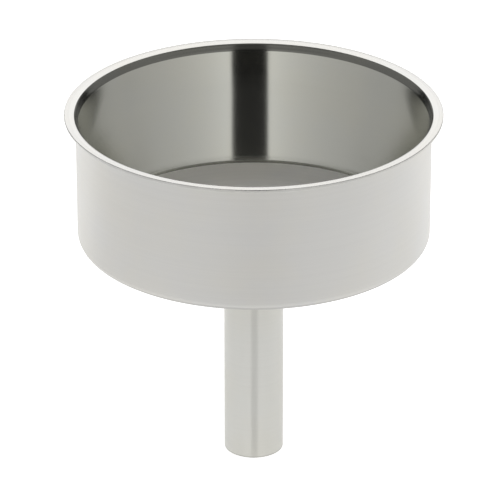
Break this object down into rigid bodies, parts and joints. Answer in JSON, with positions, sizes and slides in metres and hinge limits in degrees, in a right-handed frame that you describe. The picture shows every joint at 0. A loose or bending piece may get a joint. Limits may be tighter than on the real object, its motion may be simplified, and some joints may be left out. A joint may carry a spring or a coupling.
{
  "type": "stovetop coffee maker filter funnel",
  "caption": "Stainless steel filter funnel: a straight-walled round cup with a narrow rim flange and flat floor, a perforated plate set in the floor, and a straight narrow tube below.",
  "frame": {"origin": "centre of the tube's lower end, on the axis of revolution", "axes": "+Z along the axis of revolution, up out of the cup's mouth; X and Y are equivalent"},
  "size_m": [0.0624, 0.0624, 0.0622],
  "materials": {
    "cup_steel": "drawn stainless sheet, bright inside with fine turned lines, satin outside",
    "plate_steel": "punched stainless sheet, satin",
    "tube_steel": "drawn stainless tube, fine satin",
    "weld_steel": "rippled weld, lightly cleaned"
  },
  "bodies": {
    "root": {"cup_shell": "cup_steel", "filter_plate": "plate_steel", "spout_tube": "tube_steel", "weld_bead": "weld_steel"}
  },
  "joints": []
}
